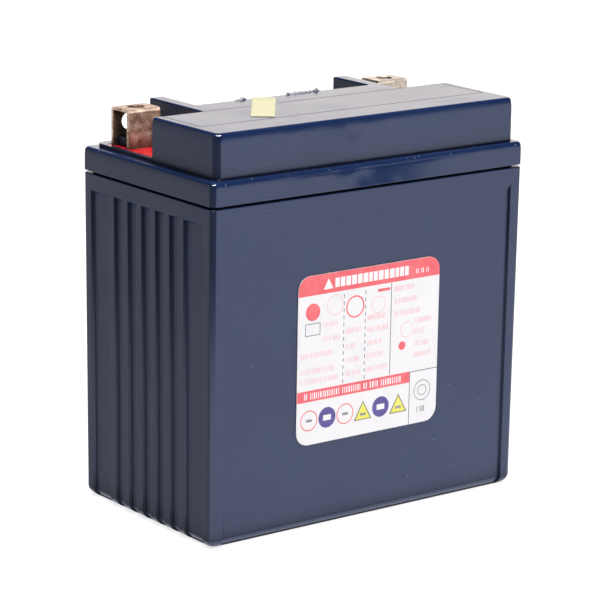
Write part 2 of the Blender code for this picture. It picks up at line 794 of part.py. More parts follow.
def main():
    navy = new_material("case_plastic", (0.020, 0.028, 0.075), 0.28)
    plated = new_material("terminal_metal", (0.62, 0.50, 0.40), 0.35, 1.0)
    lead = new_material("lead", (0.30, 0.31, 0.33), 0.60, 1.0)
    paste = new_material("positive_paste", (0.16, 0.08, 0.05), 0.85)
    rubber = new_material("rubber", (0.02, 0.02, 0.02), 0.80)
    red = new_material("red_resin", (0.60, 0.02, 0.03), 0.12)
    black = new_material("black_resin", (0.02, 0.02, 0.025), 0.15)
    mat = new_material("glass_mat", (0.85, 0.85, 0.82), 0.95)
    sheet = new_material("label_sheet", (0.86, 0.85, 0.84), 0.45)
    yellow = new_material("tape_sheet", (0.86, 0.83, 0.50), 0.50)
    ash = new_material("melted_plastic", (0.32, 0.31, 0.33), 0.70)

    build_case(navy)
    build_lid(navy)
    build_cover(navy)
    build_valves(rubber)
    for name, side, resin in (("positive", -1, red), ("negative", 1, black)):
        build_terminal(name + "_terminal", side, plated)
        build_resin(name + "_resin", side, resin)
        build_post(name + "_post", side, lead)
    build_cells(lead, paste, mat)
    build_label(sheet)
    build_tape(yellow)
    for number, (start_x, length, thick) in enumerate(BURRS, start=1):
        build_burr(f"melted_burr_{number}", start_x, length, thick, ash)


main()
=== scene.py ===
"""Studio scene of a sealed motorcycle battery.

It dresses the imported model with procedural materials, adds the label's printing, the poured resin, the tape
and the melted edge, then sets the floor, lights and camera. Lengths are in metres.
"""

from math import cos, pi, radians, sin
from random import Random

import bmesh
import bpy
from mathutils import Matrix, Vector, noise


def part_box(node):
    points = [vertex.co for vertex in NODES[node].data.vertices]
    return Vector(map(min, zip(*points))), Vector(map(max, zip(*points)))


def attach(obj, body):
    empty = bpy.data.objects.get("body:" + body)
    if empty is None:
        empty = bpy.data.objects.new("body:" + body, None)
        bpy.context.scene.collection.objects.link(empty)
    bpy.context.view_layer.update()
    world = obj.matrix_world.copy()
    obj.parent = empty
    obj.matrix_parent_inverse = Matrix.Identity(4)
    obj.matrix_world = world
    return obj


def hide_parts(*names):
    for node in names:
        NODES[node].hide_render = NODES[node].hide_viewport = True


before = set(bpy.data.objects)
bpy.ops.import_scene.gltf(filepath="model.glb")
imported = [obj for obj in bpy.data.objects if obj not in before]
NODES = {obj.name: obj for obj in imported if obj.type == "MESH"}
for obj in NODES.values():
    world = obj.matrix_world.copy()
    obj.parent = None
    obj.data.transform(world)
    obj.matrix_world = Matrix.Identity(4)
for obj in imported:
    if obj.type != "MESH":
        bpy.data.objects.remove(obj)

SKIRT_FOOT = 0.1317
SKIRT_SHOULDER = 0.1388
SKIRT_LEAN = 0.14  # how far the bowed skirt wall leans back, as a slope
SHOULDER = 0.1405  # height where grit gathers, just under the top of the skirt
BODY = "battery"
CELLS = 6
MM = 0.001
WELD_REACH = 0.001 * MM


bpy.context.view_layer.update()


# Material building


class Material:
    """One procedural material. Most methods add nodes and give back the socket to use next."""

    def __init__(self, name, colour, roughness, metallic=0.0):
        self.material = bpy.data.materials.new(name)
        self.material.use_nodes = True
        self.tree = self.material.node_tree
        self.shader = self.tree.nodes["Principled BSDF"]
        self.colour = (*colour, 1.0)
        self.set("Base Color", self.colour)
        self.set("Roughness", roughness)
        self.set("Metallic", metallic)
        self.place = self.node("ShaderNodeTexCoord").outputs["Object"]

    def set(self, name, value):
        self.shader.inputs[name].default_value = value

    def node(self, kind, **settings):
        made = self.tree.nodes.new(kind)
        for name, value in settings.items():
            setattr(made, name, value)
        return made

    def give(self, target, value):
        """Puts a number, a colour or another node's output on an input."""
        if isinstance(value, bpy.types.NodeSocket):
            self.tree.links.new(value, target)
        elif isinstance(value, tuple) and len(value) == 3 and len(target.default_value) == 4:
            target.default_value = (*value, 1.0)
        else:
            target.default_value = value

    def shade(self, name, value):
        self.give(self.shader.inputs[name], value)

    def stretched(self, stretch):
        mapping = self.node("ShaderNodeMapping")
        self.give(mapping.inputs["Vector"], self.place)
        mapping.inputs["Scale"].default_value = stretch
        return mapping.outputs["Vector"]

    def noise(self, scale, detail=3.0, stretch=None, distortion=0.0):
        texture = self.node("ShaderNodeTexNoise")
        self.give(texture.inputs["Vector"], self.stretched(stretch) if stretch else self.place)
        texture.inputs["Scale"].default_value = scale
        texture.inputs["Detail"].default_value = detail
        texture.inputs["Distortion"].default_value = distortion
        return texture.outputs["Fac"]

    def specks(self, scale, share, size):
        """Scattered round dots: share is how many cells hold one, size its radius in cells."""
        texture = self.node("ShaderNodeTexVoronoi")
        self.give(texture.inputs["Vector"], self.place)
        texture.inputs["Scale"].default_value = scale
        split = self.node("ShaderNodeSeparateColor")
        self.give(split.inputs["Color"], texture.outputs["Color"])
        chosen = self.math("GREATER_THAN", split.outputs["Red"], 1 - share)
        inside = self.ramp(texture.outputs["Distance"], size, size / 2)
        return self.math("MULTIPLY", chosen, inside)

    def math(self, operation, first, second=0.0):
        made = self.node("ShaderNodeMath", operation=operation)
        self.give(made.inputs[0], first)
        self.give(made.inputs[1], second)
        return made.outputs["Value"]

    def ramp(self, source, low, high, to_low=0.0, to_high=1.0):
        made = self.node("ShaderNodeMapRange", interpolation_type="SMOOTHSTEP")
        self.give(made.inputs["Value"], source)
        for name, value in (("From Min", low), ("From Max", high), ("To Min", to_low), ("To Max", to_high)):
            made.inputs[name].default_value = value
        return made.outputs["Result"]

    def blend(self, factor, first, second):
        made = self.node("ShaderNodeMixRGB")
        self.give(made.inputs["Fac"], factor)
        self.give(made.inputs["Color1"], first)
        self.give(made.inputs["Color2"], second)
        return made.outputs["Color"]

    def split(self, vector):
        made = self.node("ShaderNodeSeparateXYZ")
        self.give(made.inputs["Vector"], vector)
        return [made.outputs[axis] for axis in "XYZ"]

    def facing(self):
        """How squarely the surface faces each axis, either way along it."""
        turned = self.split(self.node("ShaderNodeNewGeometry").outputs["Normal"])
        return [self.math("ABSOLUTE", amount) for amount in turned]

    def facing_up(self):
        """1 on faces that look up, 0 on upright and downward ones."""
        normal = self.node("ShaderNodeNewGeometry").outputs["Normal"]
        return self.ramp(self.split(normal)[2], 0.6, 0.98)

    def rounded_edges(self):
        """1 where the surface turns from one flat face to the next, 0 on the flat faces."""
        across, along, up = self.facing()
        squarest = self.math("MAXIMUM", self.math("MAXIMUM", across, along), up)
        return self.ramp(squarest, 0.994, 0.955)

    def corners(self):
        """1 on the round corners where three faces meet, 0 elsewhere."""
        across, along, up = self.facing()
        least = self.math("MINIMUM", self.math("MINIMUM", across, along), up)
        return self.ramp(least, 0.20, 0.40)

    def facing_down(self):
        """1 on faces that look down at the table, even slightly."""
        normal = self.node("ShaderNodeNewGeometry").outputs["Normal"]
        return self.ramp(self.split(normal)[2], -0.10, -0.30)

    def near_height(self, height, reach):
        """1 at a height in the object, falling to 0 at reach above and below it."""
        away = self.math("ABSOLUTE", self.math("SUBTRACT", self.split(self.place)[2], height))
        return self.ramp(away, reach, reach / 2)

    def open_to_light(self, reach):
        """1 on open surfaces, less the deeper they lie in a recess."""
        made = self.node("ShaderNodeAmbientOcclusion", samples=8)
        made.inputs["Distance"].default_value = reach
        return self.ramp(made.outputs["AO"], 0.40, 0.92)

    def bump(self, height, distance, normal=None, strength=1.0):
        made = self.node("ShaderNodeBump")
        self.give(made.inputs["Height"], height)
        self.give(made.inputs["Strength"], strength)
        made.inputs["Distance"].default_value = distance
        if normal:
            self.give(made.inputs["Normal"], normal)
        return made.outputs["Normal"]

    def soft_edges(self, radius):
        made = self.node("ShaderNodeBevel", samples=6)
        made.inputs["Radius"].default_value = radius
        return made.outputs["Normal"]


# Materials

NAVY = (0.0085, 0.0220, 0.078)
# painted shade colour that recesses are darkened towards
NAVY_SHADED = (0.003, 0.004, 0.010)
OPEN_SPECULAR = 0.55
EDGE_SPECULAR_LOSS = 0.44
END_SPECULAR_LOSS = 0.37
CORNER_ROUGHNESS = (0.12, 0.12, 0.12)
RECESS_REACH = 12 * MM


def navy_plastic(name, dustiness, bowed=False):
    """Glossy moulded navy plastic, matt on its ribbed ends, with dust, grit, rub marks, sink waves, and
    painted shade on its ends, upright edges and recesses.
    """
    made = Material(name, NAVY, 0.2)
    film = made.math("MULTIPLY", made.facing_up(), made.ramp(made.noise(60, detail=6), 0.3, 0.9))
    film = made.math("MULTIPLY", film, dustiness)
    rubs = rub_marks(made)
    grit = loose_grit(made)
    ends = made.ramp(made.facing()[0], 0.8, 0.98)
    edges = dark_edges(made)
    lit = made.math("MAXIMUM", made.open_to_light(RECESS_REACH), made.facing_down())
    made.shade("Base Color", navy_tone(made, film, rubs, grit, ends, edges, lit))
    gloss = made.ramp(made.noise(40, detail=6), 0.25, 0.8, 0.13, 0.22)
    for dulled, amount in ((film, 0.4), (rubs, 0.2), (ends, 0.22)):
        gloss = made.math("ADD", gloss, made.math("MULTIPLY", dulled, amount))
    made.shade("Roughness", made.blend(made.corners(), gloss, CORNER_ROUGHNESS))
    edge_loss = made.math("MULTIPLY", edges, EDGE_SPECULAR_LOSS)
    end_loss = made.math("MULTIPLY", ends, END_SPECULAR_LOSS)
    shine = made.math("SUBTRACT", OPEN_SPECULAR, made.math("MAXIMUM", edge_loss, end_loss))
    shine = made.math("MULTIPLY", shine, made.ramp(lit, 0, 1, 0.3, 1))
    made.shade("Specular IOR Level", shine)
    made.shade("Normal", navy_surface(made, grit, ends, bowed))
    return made.material


def rub_marks(made):
    """Long faint scuffs that gather in patches."""
    streaks = made.ramp(made.noise(9, detail=8, stretch=(6, 6, 130), distortion=0.4), 0.66, 0.74)
    return made.math("MULTIPLY", streaks, made.ramp(made.noise(14, detail=3), 0.5, 0.7))


def loose_grit(made):
    """A few pale grains anywhere, and more along the lid's shoulder."""
    anywhere = made.math("MULTIPLY", made.specks(560, 0.012, 0.13), 0.4)
    shoulder = made.math("MULTIPLY", made.near_height(SHOULDER, 2.2 * MM), made.specks(900, 0.10, 0.20))
    return made.math("MAXIMUM", anywhere, shoulder)


def dark_edges(made):
    """Rounded edges, which mirror the dark room, less the corners and the case's lower half."""
    edges = made.math("SUBTRACT", made.rounded_edges(), made.corners())
    height = made.split(made.place)[2]
    return made.math("MULTIPLY", edges, made.ramp(height, 45 * MM, 115 * MM))


def navy_tone(made, film, rubs, grit, ends, edges, lit):
    """Base colour: mottled navy, then dust, rubs and grit, then painted shade: greyer ends, a painted dark
    reflection on upright edges and painted shade in recesses.
    """
    mottle = made.ramp(made.noise(22, detail=5), 0.3, 0.7)
    tone = made.blend(mottle, NAVY, (0.0105, 0.0260, 0.087))
    tone = made.blend(film, tone, (0.30, 0.28, 0.30))
    tone = made.blend(made.math("MULTIPLY", rubs, 0.07), tone, (0.35, 0.37, 0.45))
    tone = made.blend(grit, tone, (0.50, 0.50, 0.55))
    # painted shade: the ribbed ends are painted greyer and darker
    tone = made.blend(made.math("MULTIPLY", ends, 0.55), tone, (0.014, 0.015, 0.026))
    # painted dark reflection: upright rounded edges are darkened where they mirror the dark room
    upright = made.math("MULTIPLY", edges, made.ramp(made.facing()[2], 0.35, 0.05, 0, 0.65))
    tone = made.blend(upright, tone, (0.005, 0.008, 0.020))
    # painted shade: recesses darken towards NAVY_SHADED, but faces that look down do not
    return made.blend(lit, NAVY_SHADED, tone)


def navy_surface(made, grit, ends, bowed):
    """Softened edges, slow sink waves, and a fine grain that is strongest on the ribbed ends."""
    surface = made.soft_edges(0.35 * MM)
    if bowed:
        upright = made.ramp(made.facing()[1], 0.80, 0.95)
        surface = made.bump(bowed_skirt(made), 1.0, surface, strength=upright)
    surface = made.bump(made.noise(26, detail=1), 0.06 * MM, surface)
    grain = made.math("MULTIPLY", made.noise(1100, detail=3), made.ramp(ends, 0, 1, 0.2, 1))
    surface = made.bump(grain, 0.010 * MM, surface)
    return made.bump(grit, 0.03 * MM, surface)


def bowed_skirt(made):
    """Height of the lid's long skirt walls, which sink in towards their middle and so lean back there."""
    across, _, up = made.split(made.place)
    middle = made.ramp(made.math("ABSOLUTE", across), 52 * MM, 10 * MM)
    middle = made.math("MULTIPLY", middle, made.ramp(made.noise(35, detail=2), 0.30, 0.55))
    limited = made.math("MINIMUM", made.math("MAXIMUM", up, SKIRT_FOOT), SKIRT_SHOULDER)
    from_middle = made.math("SUBTRACT", limited, (SKIRT_FOOT + SKIRT_SHOULDER) / 2)
    return made.math("MULTIPLY", made.math("MULTIPLY", from_middle, middle), -SKIRT_LEAN)


def plating(name, bright, dull, tarnish_and_shade, metal):
    """Tin plating gone patchy over brass strip, with rolled grain, pits, rubbed edges, and painted shade in
    its hollows and inside its fold.
    """
    made = Material(name, bright, 0.3, metallic=metal)
    clouds = made.ramp(made.noise(230, detail=8, distortion=0.4), 0.34, 0.66)
    tone = made.blend(clouds, bright, dull)
    stains = made.ramp(made.noise(1300, detail=5), 0.50, 0.66)
    tone = made.blend(made.math("MULTIPLY", stains, 0.7), tone, tarnish_and_shade)
    pits = made.specks(1700, 0.10, 0.28)
    tone = made.blend(made.math("MULTIPLY", pits, 0.5), tone, tarnish_and_shade)
    rubbed = made.math("MULTIPLY", made.rounded_edges(), 0.8)
    tone = made.blend(rubbed, tone, bright)
    # painted shade: hollows and the inside of the fold darken to the darkest colour, the one the stains and
    # pits use too
    lit = made.open_to_light(14 * MM)
    made.shade("Base Color", made.blend(lit, tarnish_and_shade, tone))
    rough = made.ramp(made.noise(300, detail=6), 0.3, 0.75, 0.30, 0.5)
    made.shade("Roughness", made.math("ADD", rough, made.math("MULTIPLY", stains, 0.15)))
    grain = made.bump(made.noise(240, detail=5, stretch=(1, 9, 1)), 0.02 * MM, made.soft_edges(0.25 * MM))
    made.shade("Normal", made.bump(pits, -0.02 * MM, grain))
    return made.material


def poured_resin(name, colour, deep):
    """Glassy cast resin with slow flow ripples and a few trapped bubbles."""
    made = Material(name, colour, 0.12)
    swirl = made.ramp(made.noise(120, detail=3, distortion=1.2), 0.3, 0.75)
    made.shade("Base Color", made.blend(swirl, colour, deep))
    made.shade("Roughness", made.ramp(made.noise(500, detail=4), 0.3, 0.8, 0.08, 0.20))
    made.set("Specular IOR Level", 0.28)
    bubbles = made.specks(650, 0.05, 0.25)
    ripples = made.bump(made.noise(230, detail=1), 0.45 * MM)
    made.shade("Normal", made.bump(bubbles, 0.05 * MM, ripples))
    return made.material


def label_paper():
    """Coated off-white label stock, faintly stained and not quite flat."""
    white = (0.84, 0.82, 0.84)
    made = Material("label_paper", white, 0.34)
    stain = made.ramp(made.noise(70, detail=6), 0.45, 0.8)
    made.shade("Base Color", made.blend(stain, white, (0.79, 0.77, 0.80)))
    made.shade("Roughness", made.ramp(made.noise(260, detail=4), 0.3, 0.8, 0.28, 0.42))
    made.shade("Normal", made.bump(made.noise(90, detail=3), 0.02 * MM))
    return made.material


def printing_ink(name, colour, worn):
    """Screen ink, slightly uneven in density, that shows paper where it has worn."""
    made = Material(name, colour, 0.36)
    density = made.ramp(made.noise(160, detail=5), 0.35, 0.75)
    made.shade("Base Color", made.blend(density, colour, worn))
    made.shade("Roughness", made.ramp(made.noise(700, detail=3), 0.3, 0.7, 0.30, 0.44))
    made.shade("Normal", made.bump(made.noise(1200, detail=2), 0.004 * MM))
    return made.material


def masking_tape():
    """Crepe paper tape: pale yellow, with fibres and fine ridges across it."""
    pale = (0.61, 0.58, 0.36)
    made = Material("masking_tape", pale, 0.5)
    fibres = made.noise(900, detail=6)
    made.shade("Base Color", made.blend(made.ramp(fibres, 0.3, 0.75), pale, (0.56, 0.53, 0.31)))
    made.shade("Roughness", made.ramp(fibres, 0.3, 0.8, 0.42, 0.62))
    crepe = made.noise(1100, detail=2, stretch=(0.25, 1.6, 1))
    made.shade("Normal", made.bump(crepe, 0.04 * MM))
    return made.material


def melted_plastic():
    """Case plastic scraped and scorched to a pale grey crust."""
    pale = (0.56, 0.55, 0.57)
    made = Material("melted_plastic", pale, 0.8)
    made.set("Specular IOR Level", 0.0)
    char = made.ramp(made.noise(800, detail=6), 0.42, 0.60)
    made.shade("Base Color", made.blend(char, pale, (0.24, 0.23, 0.26)))
    made.shade("Roughness", made.ramp(made.noise(900, detail=4), 0.3, 0.8, 0.7, 1.0))
    made.shade("Normal", made.bump(made.noise(2200, detail=6), 0.12 * MM))
    return made.material


def cast_lead(name, colour, oxide):
    """Dull cast lead with grey oxide bloom and casting ripples."""
    made = Material(name, colour, 0.5, metallic=0.9)
    bloom = made.ramp(made.noise(160, detail=7), 0.4, 0.7)
    made.shade("Base Color", made.blend(bloom, colour, oxide))
    made.shade("Roughness", made.ramp(bloom, 0, 1, 0.4, 0.75))
    made.shade("Normal", made.bump(made.noise(300, detail=5), 0.05 * MM))
    return made.material


def pasted_plate():
    """Brown lead dioxide paste, grainy and dry."""
    brown = (0.10, 0.045, 0.028)
    made = Material("pasted_plate", brown, 0.85)
    grains = made.noise(800, detail=8)
    made.shade("Base Color", made.blend(made.ramp(grains, 0.35, 0.7), brown, (0.16, 0.08, 0.05)))
    made.shade("Roughness", made.ramp(grains, 0.2, 0.8, 0.75, 0.95))
    made.shade("Normal", made.bump(grains, 0.08 * MM))
    return made.material


def glass_felt():
    """Matted glass fibre: white, with fibre strands crossing at all angles."""
    white = (0.84, 0.85, 0.84)
    made = Material("glass_felt", white, 0.9)
    strands = made.noise(600, detail=8, stretch=(1, 3.5, 1), distortion=2.0)
    made.shade("Base Color", made.blend(made.ramp(strands, 0.4, 0.7), white, (0.70, 0.72, 0.72)))
    made.shade("Roughness", made.ramp(strands, 0.2, 0.8, 0.8, 1.0))
    made.shade("Normal", made.bump(strands, 0.1 * MM))
    return made.material


def black_rubber():
    """Soft black rubber with a bloom of pale powder."""
    black = (0.012, 0.012, 0.012)
    made = Material("black_rubber", black, 0.65)
    powder = made.ramp(made.noise(350, detail=6), 0.5, 0.8)
    made.shade("Base Color", made.blend(powder, black, (0.05, 0.05, 0.05)))
    made.shade("Roughness", made.ramp(powder, 0, 1, 0.55, 0.8))
    made.shade("Normal", made.bump(made.noise(900, detail=3), 0.02 * MM))
    return made.material


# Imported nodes


def smoothing_group(crease):
    """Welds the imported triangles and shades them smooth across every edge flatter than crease."""
    group = bpy.data.node_groups.new("weld_and_smooth", "GeometryNodeTree")
    for way in ("INPUT", "OUTPUT"):
        group.interface.new_socket("Geometry", in_out=way, socket_type="NodeSocketGeometry")
    kinds = (
        "NodeGroupInput",
        "GeometryNodeMergeByDistance",
        "GeometryNodeRemoveAttribute",
        "GeometryNodeSetShadeSmooth",
        "GeometryNodeSetShadeSmooth",
        "NodeGroupOutput",
    )
    chain = [group.nodes.new(kind) for kind in kinds]
    for before, after in zip(chain, chain[1:]):
        group.links.new(before.outputs[0], after.inputs[0])
    _, weld, remove, faces, edges, _ = chain
    weld.inputs["Distance"].default_value = WELD_REACH
    remove.inputs["Name"].default_value = "custom_normal"
    faces.domain = "FACE"
    edges.domain = "EDGE"
    edges.inputs["Shade Smooth"].default_value = False
    angle = group.nodes.new("GeometryNodeInputMeshEdgeAngle")
    sharp = group.nodes.new("FunctionNodeCompare")
    sharp.inputs["B"].default_value = crease
    group.links.new(angle.outputs["Unsigned Angle"], sharp.inputs["A"])
    group.links.new(sharp.outputs["Result"], edges.inputs["Selection"])
    return group


SMOOTHING = smoothing_group(radians(32))


def smooth(obj):
    """Smooth shading that keeps large flat faces flat."""
    weld = obj.modifiers.new("weld_and_smooth", "NODES")
    weld.node_group = SMOOTHING
    weight = obj.modifiers.new("flat_faces_lead", "WEIGHTED_NORMAL")
    weight.keep_sharp = True
    weight.weight = 80


def dress(name, material):
    obj = NODES[name]
    obj.data.materials.clear()
    obj.data.materials.append(material)
    smooth(obj)


def dress_nodes():
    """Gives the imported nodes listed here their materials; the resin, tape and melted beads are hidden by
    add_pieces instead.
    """
    dress("case", navy_plastic("case_navy", 0.10))
    lid_navy = navy_plastic("lid_navy", 0.10, bowed=True)
    dress("lid", lid_navy)
    dress("vent_cover", lid_navy)
    # the darkest colour of each plating is its tarnish and also its painted shade in hollows
    tan, umber, soot_and_shade = (0.66, 0.48, 0.37), (0.31, 0.18, 0.12), (0.06, 0.028, 0.016)
    dress("positive_terminal", plating("positive_plating", tan, umber, soot_and_shade, 0.55))
    silver, sand, grime_and_shade = (0.68, 0.58, 0.50), (0.51, 0.41, 0.33), (0.20, 0.15, 0.11)
    dress("negative_terminal", plating("negative_plating", silver, sand, grime_and_shade, 0.6))
    grey_lead = cast_lead("cast_lead", (0.33, 0.34, 0.36), (0.20, 0.21, 0.22))
    paste = pasted_plate()
    felt = glass_felt()
    rubber = black_rubber()
    for post in ("positive_post", "negative_post"):
        dress(post, grey_lead)
    for cell in range(1, CELLS + 1):
        dress(f"vent_valve_{cell}", rubber)
        dress(f"positive_plates_{cell}", paste)
        dress(f"negative_plates_{cell}", grey_lead)
        dress(f"glass_mat_{cell}", felt)
    for link in range(1, CELLS):
        dress(f"cell_link_{link}", grey_lead)
    dress("label", label_paper())


# Pieces


def new_piece(name, mesh_in_progress, material, location=(0, 0, 0), turn=None):
    """A finished piece, placed in the world and riding on the battery."""
    bmesh.ops.recalc_face_normals(mesh_in_progress, faces=mesh_in_progress.faces)
    mesh = bpy.data.meshes.new(name)
    mesh_in_progress.to_mesh(mesh)
    mesh_in_progress.free()
    mesh.materials.append(material)
    obj = bpy.data.objects.new(name, mesh)
    bpy.context.scene.collection.objects.link(obj)
    obj.matrix_world = Matrix.Translation(location) @ (turn or Matrix()).to_4x4()
    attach(obj, BODY)
    return obj


# Label printing. Positions on the label are across and up from its middle.

LABEL_SHEET = 0.3 * MM
INK = 0.02 * MM
INK_LIFT = 0.015 * MM
LABEL_CORNER = 5.5 * MM


def label_place():
    """The middle of the label's printed face, and the turn that lays flat work on it."""
    low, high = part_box("label")
    size = high - low
    lean = (size.y - LABEL_SHEET) / size.z
    middle = (low + high) / 2
    middle.y -= LABEL_SHEET / 2 + INK_LIFT
    return middle, Matrix.Rotation(pi / 2 + lean, 3, "X")


def slab(mesh, outline):
    """A thin printed shape from its outline, as (across, up) points."""
    bottom = [mesh.verts.new((across, up, 0)) for across, up in outline]
    top = [mesh.verts.new((across, up, INK)) for across, up in outline]
    mesh.faces.new(bottom[::-1])
    mesh.faces.new(top)
    for here in range(len(outline)):
        after = (here + 1) % len(outline)
        mesh.faces.new((bottom[here], bottom[after], top[after], top[here]))


def ring(mesh, middle, outer, inner):
    """A thin printed ring."""
    steps = 40
    loops = []
    for radius, z in ((outer, 0), (outer, INK), (inner, INK), (inner, 0)):
        points = [Vector(middle) + radius * direction(step / steps) for step in range(steps)]
        loops.append([mesh.verts.new((*point, z)) for point in points])
    for here, after in zip(loops, loops[1:] + loops[:1]):
        for step in range(steps):
            beyond = (step + 1) % steps
            mesh.faces.new((here[step], here[beyond], after[beyond], after[step]))


def direction(share):
    """Unit vector at a share of a full turn."""
    return Vector((cos(share * 2 * pi), sin(share * 2 * pi)))


def disc_outline(middle, radius, steps=40):
    return [tuple(Vector(middle) + radius * direction(step / steps)) for step in range(steps)]


def bar_outline(left, right, low, high):
    return [(left, low), (right, low), (right, high), (left, high)]


def triangle_outline(middle, width, height):
    x, y = middle
    return [(x - width / 2, y - height / 2), (x + width / 2, y - height / 2), (x, y + height / 2)]


def header_outline(half_wide, low, high, corner):
    """A band across the label's top that follows its rounded corners."""
    steps = 10
    outline = [(-half_wide, low), (half_wide, low)]
    for side, start in ((1, 0.0), (-1, 0.25)):
        centre = Vector((side * (half_wide - corner), high - corner))
        outline += [tuple(centre + corner * direction(start + step / steps / 4)) for step in range(steps + 1)]
    return outline


def marks(mesh, left, right, low, high, stroke, seed):
    """A row of short strokes that reads as small print from afar and holds no letters."""
    chance = Random(seed)
    x = left
    while x < right - stroke:
        width = stroke * chance.uniform(0.6, 1.4)
        slab(mesh, bar_outline(x, x + width, low, high))
        x += width + stroke * chance.choice((0.9, 1.2, 1.2, 3.0))


def print_layer(name, draw, ink, level=1):
    """One colour of the label's printing. Later colours lie on a higher level."""
    mesh = bmesh.new()
    draw(mesh)
    middle, turn = label_place()
    place = middle + turn @ Vector((0, 0, (INK + INK_LIFT) * (level - 1)))
    return new_piece(name, mesh, ink, place, turn)


HALF_LABEL = 34.3 * MM
LABEL_TOP = 33.2 * MM
HEADER_LOW = 25.5 * MM
BAND = (-34.3 * MM, 20.5 * MM, -16.1 * MM, -11.7 * MM)
CORNER_BOX = (20.5 * MM, -12.0 * MM)
RULE = 0.30 * MM
COLUMN_RULE = 10.5 * MM
DASHED_RULES = (-12.5 * MM, -2.1 * MM)
SIGN_ROW = -23.6 * MM
SIGN_STEP = 8.72 * MM
SIGN_START = -28.5 * MM
SIGN_RADIUS = 4.1 * MM
SIGN_DASH_HALF = 0.5 * MM
YELLOW_SIGN = (8.6 * MM, 7.6 * MM)


def sign_middle(number):
    """Middle of one of the six signs along the label's foot."""
    return (SIGN_START + number * SIGN_STEP, SIGN_ROW)


def draw_red(mesh):
    slab(mesh, header_outline(HALF_LABEL, HEADER_LOW, LABEL_TOP, LABEL_CORNER))
    slab(mesh, bar_outline(*BAND))


def draw_red_signs(mesh):
    for number in (0, 2):
        ring(mesh, sign_middle(number), SIGN_RADIUS, SIGN_RADIUS - 0.4 * MM)
    ring(mesh, (-7.1 * MM, 18.4 * MM), 4.4 * MM, 3.8 * MM)


def draw_pink(mesh):
    """Small print in columns, with plain rings between. Lengths here are in millimetres."""
    columns = (  # left end, right end and the foot of each row
        (-33.0, -14.5, (-9.2, -5.2, 1.0)),
        (-22.5, -14.0, (6.6, 12.2)),
        (-11.2, -3.6, (-8.8, -3.4, 2.0, 8.2)),
        (-1.0, 9.2, (-8.4, -3.2, 2.0, 7.2, 12.0)),
        (12.2, 25.0, (11.6, 16.6, 21.6)),
        (22.4, 30.6, (-6.2, -1.8, 3.2, 7.6)),
    )
    for number, (left, right, rows) in enumerate(columns):
        for row, low in enumerate(rows):
            end = right - (row % 3) * 1.4
            marks(mesh, left * MM, end * MM, low * MM, (low + 2.1) * MM, 0.30 * MM, seed=10 * number + row)
    for middle, radius in (((-16.8, 20.4), 4.0), ((18.6, 5.6), 3.2), ((4.2, 17.6), 3.4)):
        ring(mesh, tuple(Vector(middle) * MM), radius * MM, (radius - 0.3) * MM)


def draw_picture_blocks(mesh):
    """Plain solid shapes that take the place of the label's pictures."""
    slab(mesh, disc_outline((-27.4 * MM, 19.0 * MM), 3.4 * MM))
    slab(mesh, bar_outline(3.8 * MM, 9.9 * MM, 22.6 * MM, 23.7 * MM))
    slab(mesh, disc_outline((16.4 * MM, -0.6 * MM), 1.7 * MM))


def frame_bars(mesh, left, right, low, high, width):
    """An empty rectangle drawn in four bars."""
    for bottom in (low, high - width):
        slab(mesh, bar_outline(left, right, bottom, bottom + width))
    for start in (left, right - width):
        slab(mesh, bar_outline(start, start + width, low + width, high - width))


def draw_black(mesh):
    """Rules between the columns and round the corner box, and dark edges for the yellow signs."""
    half = RULE / 2
    slab(mesh, bar_outline(COLUMN_RULE - half, COLUMN_RULE + half, BAND[3] + 0.3 * MM, HEADER_LOW - 0.2 * MM))
    left, top = CORNER_BOX
    slab(mesh, bar_outline(left + RULE, HALF_LABEL, top - half, top + half))
    slab(mesh, bar_outline(left, left + RULE, -33.0 * MM, top + half))
    frame_bars(mesh, -31.0 * MM, -23.8 * MM, 9.8 * MM, 14.6 * MM, 0.25 * MM)
    for number in (3, 5):
        slab(mesh, triangle_outline(sign_middle(number), *YELLOW_SIGN))
    dash, gap = 1.5 * MM, 1.3 * MM
    for across in DASHED_RULES:
        up = BAND[3] + 0.6 * MM
        while up + dash < HEADER_LOW:
            slab(mesh, bar_outline(across - half, across + half, up, up + dash))
            up += dash + gap


def draw_violet(mesh):
    for number in (1, 4):
        slab(mesh, disc_outline(sign_middle(number), SIGN_RADIUS))


def draw_yellow(mesh):
    edge = 0.35 * MM
    wide, high = YELLOW_SIGN
    for number in (3, 5):
        across, up = sign_middle(number)
        slab(mesh, triangle_outline((across, up - edge / 2), wide - 4 * edge, high - 3 * edge))


def draw_white(mesh):
    """Blank blocks on the red bands and the violet discs."""
    chance = Random(5)
    x = -17.0 * MM
    while x < 18.8 * MM:
        width = chance.uniform(1.6, 2.4) * MM
        slab(mesh, bar_outline(x, x + width, 27.3 * MM, 31.0 * MM))
        x += width + 0.5 * MM
    slab(mesh, triangle_outline((-20.2 * MM, 29.2 * MM), 4.6 * MM, 4.2 * MM))
    marks(mesh, 22.6 * MM, 30.4 * MM, 27.4 * MM, 29.3 * MM, 0.42 * MM, seed=3)
    marks(mesh, -31.0 * MM, 17.0 * MM, -15.2 * MM, -12.7 * MM, 0.50 * MM, seed=4)
    for number in (1, 4):
        across, up = sign_middle(number)
        slab(mesh, bar_outline(across - 1.9 * MM, across + 1.9 * MM, up - 1.1 * MM, up + 1.1 * MM))


def draw_grey(mesh):
    """Plain marks in the corner box and on the signs."""
    for outer, inner in ((4.2, 3.9), (2.2, 1.9)):
        ring(mesh, (27.0 * MM, -20.1 * MM), outer * MM, inner * MM)
    marks(mesh, 24.6 * MM, 29.0 * MM, -28.9 * MM, -26.5 * MM, 0.42 * MM, seed=8)
    for number in (0, 2, 3, 5):
        across, up = sign_middle(number)
        drop = 1.6 * MM if number > 2 else 0
        low = up - drop - SIGN_DASH_HALF
        high = up - drop + SIGN_DASH_HALF
        slab(mesh, bar_outline(across - 1.4 * MM, across + 1.4 * MM, low, high))


